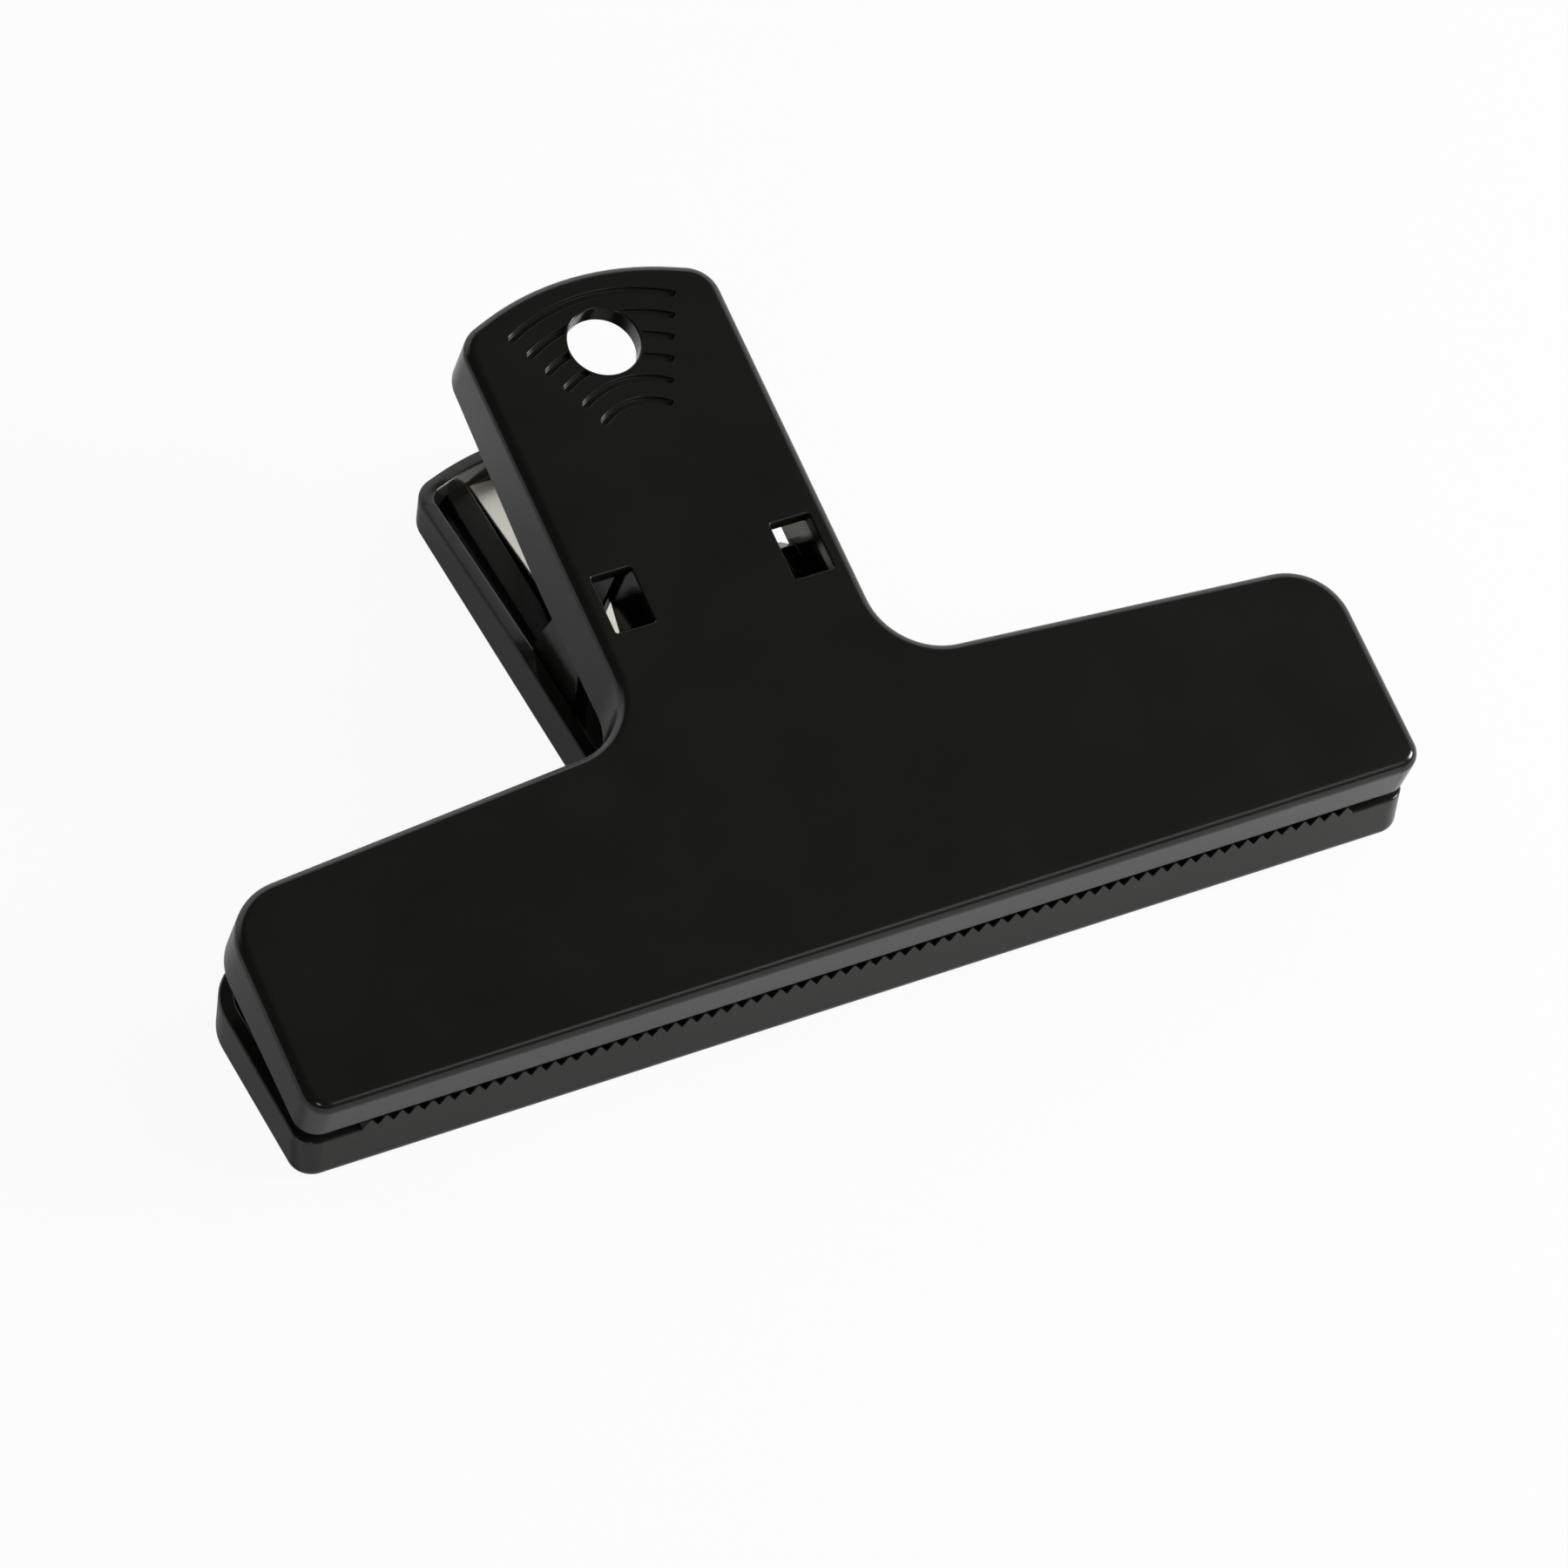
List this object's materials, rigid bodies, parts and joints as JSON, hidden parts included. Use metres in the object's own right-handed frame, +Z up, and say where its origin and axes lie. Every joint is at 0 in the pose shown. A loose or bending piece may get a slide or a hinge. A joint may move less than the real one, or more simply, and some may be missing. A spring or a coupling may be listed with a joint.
{
  "type": "magnetic clip",
  "caption": "Wide T-shaped spring clip with a toothed lip, moulded hinge, leaf spring, hang hole and magnets set in its back.",
  "frame": {"origin": "on the magnetic back face, in the middle of the jaw's width, on the line through the magnets' centres", "axes": "+X along the jaw, +Y from the lips to the handles, +Z up from the magnetic back to the upper lever"},
  "size_m": [0.15, 0.098, 0.0413],
  "materials": {
    "plastic": "satin black moulded plastic with a fine even texture",
    "spring_steel": "bright plated spring strip",
    "ferrite": "sintered dark grey ferrite"
  },
  "bodies": {
    "lower": {"lower_lever": "plastic", "leaf_spring": "spring_steel", "magnet_left": "ferrite", "magnet_right": "ferrite"},
    "upper": {"upper_lever": "plastic"}
  },
  "joints": [
    {"name": "jaw_hinge", "type": "hinge", "parent": "lower", "child": "upper", "pos_m": [0, 0.0395, 0.0156], "axis": [-1, 0, 0], "range_deg": [0, 42], "stiffness_Nm_per_rad": 2, "springref_deg": -17.19, "deforming": ["leaf_spring"]}
  ]
}
